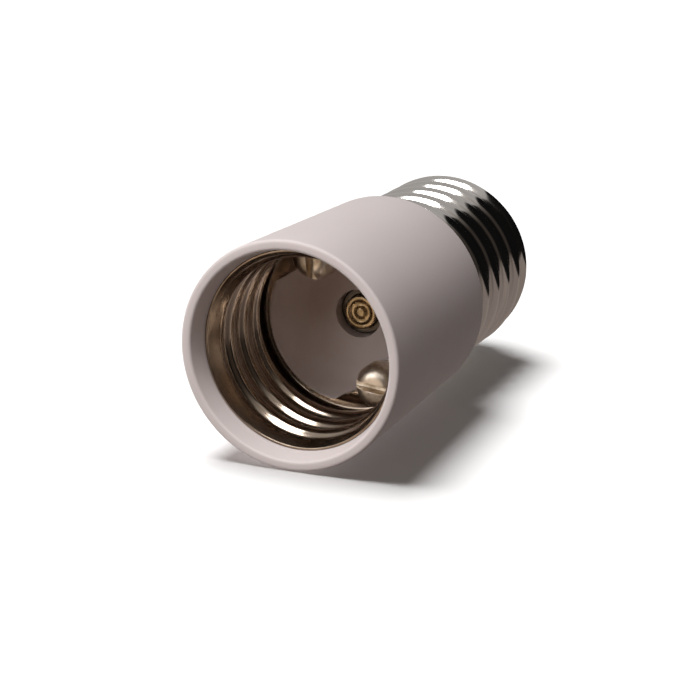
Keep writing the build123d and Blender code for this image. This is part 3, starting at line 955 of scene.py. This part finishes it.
class LAMP_OT_cap_end(bpy.types.Operator):
    """Makes the cap's end: the black glass insulator and the tinned contact"""

    bl_idname = "lamp_adapter.cap_end"
    bl_label = "Cap end"

    def execute(self, context):
        colours = context.scene.adapter_finish
        groups = shader_groups()
        glass = rounded(
            (
                (2, 82.75, 0), (15.8, 82.75, 0.3), (15.8, 85.05, 0.2), (13.7, 86.45, 0.1),
                (13.7, 87, 0.35), (12.6, 87.95, 0.8), (11.1, 88.85, 0.8), (9.2, 89.9, 0.4),
                (2, 89.9, 0),
            )
        )
        insulator = surface("glass_insulator", lathe(glass, 144, waver=glass_ripple))
        black = black_glass(colours, groups)
        settle(insulator, "end_insulator", "body", black)
        contact = rounded(
            (
                (2, 89.9, 0), (8.2, 89.9, 0.15), (8.2, 92.3, 0.95), (6.2, 92.3, 0.5),
                (4.2, 92.3, 0.5), (2.2, 92.3, 0.5), (0, 92.3, 0), (0, 91.4, 0), (2, 91.4, 0),
            )
        )
        tin = turned_metal("Tinned contact", colours.tin, 0.32, groups, 1500.0)
        button = surface("end_button", lathe(contact, 144, waver=solder_waver))
        settle(button, "end_contact", "body", tin)
        return {"FINISHED"}


class LAMP_OT_inner_brass(bpy.types.Operator):
    """Gives the nuts, the strip and the rod behind the floor their turned brass"""

    bl_idname = "lamp_adapter.inner_brass"
    bl_label = "Inner brass"

    def execute(self, context):
        colours = context.scene.adapter_finish
        brass = turned_metal("Inner brass", colours.brass, 0.3, shader_groups())
        for node in (
            "shell_nut_lower", "shell_nut_upper", "link_strip", "sleeve_nut", "centre_rod",
        ):
            dress(node, brass)
        return {"FINISHED"}


def light_on(name, light, direction, distance, collection):
    """Light before the adapter in a direction, on what its collection says."""
    shown = bpy.data.objects.new(name, light)
    bpy.context.scene.collection.objects.link(shown)
    direction = Vector(direction).normalized()
    turn = direction.to_track_quat("Z", "Y").to_matrix().to_4x4()
    shown.matrix_world = Matrix.Translation(LAMP_AIM + direction * distance) @ turn
    shown.light_linking.receiver_collection = collection


def lamp(name, direction, value, size, floors):
    """Square area lamp that gives a white surface facing it the given value, floors apart.

    A surface of albedo 1 shows power / (pi^2 distance^2) under a far square lamp.
    """
    light = bpy.data.lights.new(name, "AREA")
    light.shape = "SQUARE"
    light.size = size
    light.energy = value * math.pi**2 * LAMP_DISTANCE**2
    light_on(name, light, direction, LAMP_DISTANCE, floors)


def floor_sun(name, direction, value, floor):
    """Wide sun that gives one white floor the given value, shaded by the adapter."""
    light = bpy.data.lights.new(name, "SUN")
    light.angle = SUN_ANGLE
    light.energy = value * math.pi
    only = bpy.data.collections.new(name)
    only.objects.link(floor)
    light_on(name, light, direction, 1.0, only)


def floor_material(name, stage):
    """Pale floor seen by the camera from its upper side only, and no bar to other light."""
    made = bpy.data.materials.new(name)
    made.use_nodes = True
    tree = made.node_tree
    shader = tree.nodes["Principled BSDF"]
    shader.inputs["Roughness"].default_value = 0.8
    shader.inputs["Specular IOR Level"].default_value = 0.1
    shader.inputs["Base Color"].default_value = (*stage.floor, 1)
    path = add_node(tree, "ShaderNodeLightPath")
    side = add_node(tree, "ShaderNodeNewGeometry")
    clear = add_node(tree, "ShaderNodeBsdfTransparent")
    mix = add_node(tree, "ShaderNodeMixShader")
    front = math_node(tree, "SUBTRACT", 1.0, side.outputs["Backfacing"])
    seen = math_node(tree, "MULTIPLY", path.outputs["Is Camera Ray"], front)
    tree.links.new(seen, mix.inputs[0])
    tree.links.new(clear.outputs[0], mix.inputs[1])
    tree.links.new(shader.outputs[0], mix.inputs[2])
    tree.links.new(mix.outputs[0], tree.nodes["Material Output"].inputs["Surface"])
    return made


def floor_piece(name, material, origin, normal):
    """Square of floor about its origin, facing its normal."""
    mesh = bpy.data.meshes.new(name)
    turn = Vector(normal).to_track_quat("Z", "Y").to_matrix().to_4x4()
    place = Matrix.Translation(origin) @ turn
    signs = ((-1, -1), (1, -1), (1, 1), (-1, 1))
    corners = [place @ Vector((x * FLOOR_HALF, y * FLOOR_HALF, 0)) for x, y in signs]
    mesh.from_pydata([tuple(corner) for corner in corners], [], [(0, 1, 2, 3)])
    mesh.materials.append(material)
    piece = bpy.data.objects.new(name, mesh)
    bpy.context.scene.collection.objects.link(piece)
    return piece


def facing(tree, direction, normal, low, high):
    """Share from 0 to 1 by the side of a plane through the middle that a direction is on."""
    side = add_node(tree, "ShaderNodeVectorMath", operation="DOT_PRODUCT")
    side.inputs[1].default_value = normal
    tree.links.new(direction, side.inputs[0])
    return ranged(tree, side.outputs["Value"], low, high)


def surroundings(stage):
    """World: white for the camera, soft light from before the mouth, and for reflections
    a room of plain parts. Before the mouth it has a bright side, a dark side and a warm
    glow, and behind the cap a black flag with brighter parts about it."""
    bright_side, dark_side = (0.50, 0.46, 0.42), (0.055, 0.045, 0.038)
    mouth_glow, bright_back = (0.9, 0.72, 0.55), (0.46, 0.45, 0.44)
    flag, past_flag = (0.005, 0.005, 0.005), (0.26, 0.22, 0.20)
    world = bpy.data.worlds.new("Studio")
    bpy.context.scene.world = world
    world.use_nodes = True
    tree = world.node_tree
    way = add_node(tree, "ShaderNodeTexCoord").outputs["Generated"]

    def split(normal, low, high, first, second):
        return blended(tree, facing(tree, way, normal, low, high), first, second)

    before = split((1, 0, 0), -0.75, -0.15, bright_side, dark_side)
    before = split((0.1, 0.5, -0.87), 0.90, 0.98, before, mouth_glow)
    behind = split((0.75, 0.63, -0.21), -0.04, 0.03, flag, past_flag)
    behind = split((0.78, -0.61, 0.14), -0.03, 0.03, bright_back, behind)
    mirrored = split((0, 0, 1), -0.75, -0.45, before, behind)
    soft = split((0, 0, 1), -0.95, -0.6, tuple(stage.mouth_light), tuple(stage.ambient))
    path = add_node(tree, "ShaderNodeLightPath")
    shown = blended(tree, path.outputs["Is Glossy Ray"], soft, mirrored)
    shown = blended(tree, path.outputs["Is Camera Ray"], shown, (1, 1, 1))
    tree.links.new(shown, tree.nodes["Background"].inputs["Color"])


def photo_camera(scene):
    """Camera at the photo's place, with its lens."""
    camera = bpy.data.cameras.new("Camera")
    camera.lens = CAMERA_LENS
    camera.sensor_width = CAMERA_SENSOR
    camera.clip_start, camera.clip_end = CAMERA_CLIP
    shown = bpy.data.objects.new("Camera", camera)
    scene.collection.objects.link(shown)
    turn = Matrix((CAMERA_RIGHT, CAMERA_UP, CAMERA_BACK)).transposed().to_4x4()
    shown.matrix_world = Matrix.Translation(CAMERA_PLACE) @ turn
    scene.camera = shown


def two_floors(stage):
    """Floor that the photo's adapter lies on, which touches its rim and its back edge,
    and the level floor that it stands on in the frame."""
    pale = floor_material("Pale floor", stage)
    side = -PHOTO_UP
    slope = Vector((0, 0, BODY_LENGTH * MM)) + side * (BACK_RADIUS - RIM_RADIUS) * MM
    slope.normalize()
    normal = (PHOTO_UP - slope * PHOTO_UP.dot(slope)).normalized()
    lying = floor_piece("floor_photo", pale, side * RIM_RADIUS * MM, normal)
    below = Vector((0, 0, -FLOOR_GAP * MM))
    standing = floor_piece("floor_stand", pale, below, Vector((0, 0, 1)))
    return lying, standing


class LAMP_OT_stage(bpy.types.Operator):
    """Makes the floors, lamps, surroundings and camera"""

    bl_idname = "lamp_adapter.stage"
    bl_label = "Stage"

    def execute(self, context):
        scene = context.scene
        stage = scene.adapter_stage
        surroundings(stage)
        lying, standing = two_floors(stage)
        floors = bpy.data.collections.new("Floors")
        for piece in (lying, standing):
            floors.objects.link(piece)
        for entry in floors.collection_objects:
            entry.light_linking.link_state = "EXCLUDE"
        for name, direction, setting, size in LAMPS:
            lamp(name, direction, getattr(stage, setting), size, floors)
        floor_sun("Floor sun", FLOOR_SUN_DIRECTION, stage.floor_light, lying)
        floor_sun("Standing floor sun", STANDING_SUN_DIRECTION, stage.floor_light, standing)
        photo_camera(scene)
        scene.view_settings.view_transform = "Standard"
        return {"FINISHED"}


OPERATORS = (
    LAMP_OT_housing,
    LAMP_OT_shells,
    LAMP_OT_screws,
    LAMP_OT_contact,
    LAMP_OT_cap_end,
    LAMP_OT_inner_brass,
    LAMP_OT_stage,
)


class LAMP_PT_panel(bpy.types.Panel):
    """Sidebar panel of the adapter's settings and steps"""

    bl_idname = "LAMP_PT_panel"
    bl_label = "Lamp socket adapter"
    bl_space_type = "VIEW_3D"
    bl_region_type = "UI"
    bl_category = "Adapter"

    def draw(self, context):
        for settings in SETTINGS:
            box = self.layout.box()
            owner = getattr(context.scene, settings)
            for key in owner.__annotations__:
                box.prop(owner, key)
        for step in OPERATORS:
            self.layout.operator(step.bl_idname)


SETTINGS = {
    "adapter_shells": ShellSettings,
    "adapter_finish": FinishSettings,
    "adapter_stage": StageSettings,
}


def register():
    """Registers the settings, the operators and the panel."""
    for key, settings in SETTINGS.items():
        bpy.utils.register_class(settings)
        setattr(bpy.types.Scene, key, PointerProperty(type=settings))
    for made in (*OPERATORS, LAMP_PT_panel):
        bpy.utils.register_class(made)


def unregister():
    """Takes them away again."""
    for made in (LAMP_PT_panel, *reversed(OPERATORS)):
        bpy.utils.unregister_class(made)
    for key, settings in SETTINGS.items():
        delattr(bpy.types.Scene, key)
        bpy.utils.unregister_class(settings)


def main():
    """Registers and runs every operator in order."""
    register()
    for step in OPERATORS:
        group_name, name = step.bl_idname.split(".")
        getattr(getattr(bpy.ops, group_name), name)()


if __name__ == "__main__":
    main()
